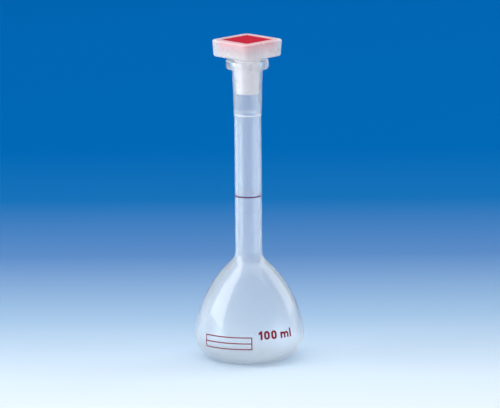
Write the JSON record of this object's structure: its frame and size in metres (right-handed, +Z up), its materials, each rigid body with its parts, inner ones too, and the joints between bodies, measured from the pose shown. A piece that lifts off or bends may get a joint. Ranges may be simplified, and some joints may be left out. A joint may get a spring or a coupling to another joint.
{
  "type": "volumetric flask",
  "caption": "Translucent plastic volumetric flask with a pear-shaped bulb, long neck, printed ring mark and a square-headed taper stopper.",
  "frame": {"origin": "centre of the foot, on the plane the flask stands on", "axes": "+Z up the neck's axis, -Y the side that carries the print, +X to the right as seen from the print side"},
  "size_m": [0.061, 0.0611, 0.1796],
  "materials": {
    "flask_plastic": "milky translucent polypropylene, satin gloss",
    "stopper_plastic": "milky translucent polypropylene, satin gloss",
    "insert_plastic": "red moulded plastic, satin gloss",
    "print_ink": "red screen-printed ink",
    "ring_ink": "dark red printed ring"
  },
  "bodies": {
    "flask": {"flask_body": "flask_plastic", "ring_mark": "ring_ink", "capacity_print": "print_ink", "write_on_field": "print_ink"},
    "stopper": {"stopper": "stopper_plastic", "stopper_insert": "insert_plastic"}
  },
  "joints": [
    {"name": "stopper_lift", "type": "slide", "parent": "flask", "child": "stopper", "axis": [0, 0, 1], "range_m": [0, 0.06]}
  ]
}
